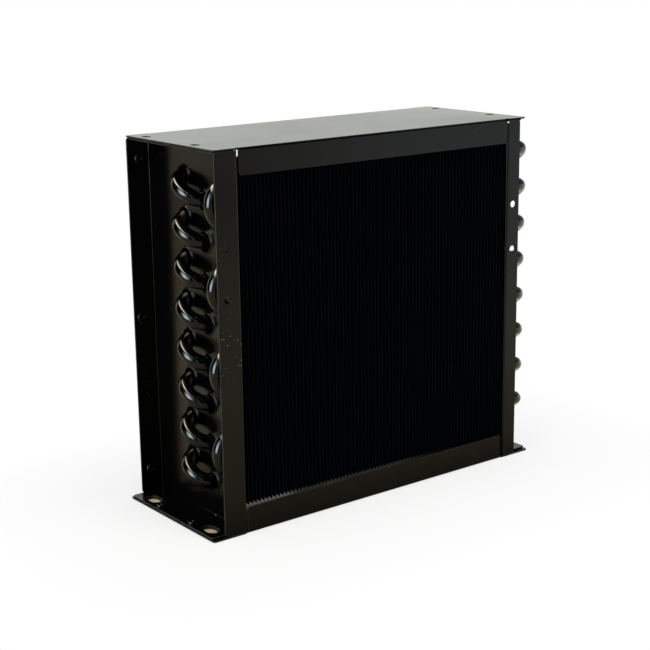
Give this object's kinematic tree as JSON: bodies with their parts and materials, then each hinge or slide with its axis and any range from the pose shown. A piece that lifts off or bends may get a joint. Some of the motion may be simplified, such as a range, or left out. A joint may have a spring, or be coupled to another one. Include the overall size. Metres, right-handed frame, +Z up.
{
  "type": "finned condenser coil",
  "caption": "Upright fin and tube condenser coil in a folded sheet-metal casing with end plates, a flat top and feet; U-bends show at both ends.",
  "frame": {"origin": "centre of the casing on the base plate's underside", "axes": "+X along the tubes towards the return bends, -Y the front face that the air enters, +Z up"},
  "size_m": [0.2725, 0.0967, 0.232],
  "materials": {
    "casing_coat": "gloss black coat on folded steel sheet",
    "fin_coat": "thin matt black coat on aluminium fins",
    "tube_coat": "gloss black coat on copper tube"
  },
  "bodies": {
    "root": {"top_plate": "casing_coat", "base_plate": "casing_coat", "end_plate_left": "casing_coat", "end_plate_right": "casing_coat", "foot_flange_left": "casing_coat", "foot_flange_right": "casing_coat", "top_flange_left": "casing_coat", "top_flange_right": "casing_coat", "fin_pack": "fin_coat", "hairpin_rear_1": "tube_coat", "hairpin_rear_2": "tube_coat", "hairpin_rear_3": "tube_coat", "hairpin_rear_4": "tube_coat", "hairpin_rear_5": "tube_coat", "hairpin_rear_6": "tube_coat", "hairpin_rear_7": "tube_coat", "hairpin_rear_8": "tube_coat", "hairpin_front_1": "tube_coat", "hairpin_front_2": "tube_coat", "hairpin_front_3": "tube_coat", "hairpin_front_4": "tube_coat", "return_bend_front_1": "tube_coat", "return_bend_front_2": "tube_coat", "return_bend_front_3": "tube_coat", "return_bend_front_4": "tube_coat", "return_bend_front_5": "tube_coat", "return_bend_front_6": "tube_coat", "return_bend_front_7": "tube_coat", "return_bend_front_8": "tube_coat", "return_bend_rear_1": "tube_coat", "return_bend_rear_2": "tube_coat", "return_bend_rear_3": "tube_coat", "inlet_tube": "tube_coat", "outlet_tube": "tube_coat"}
  },
  "joints": []
}
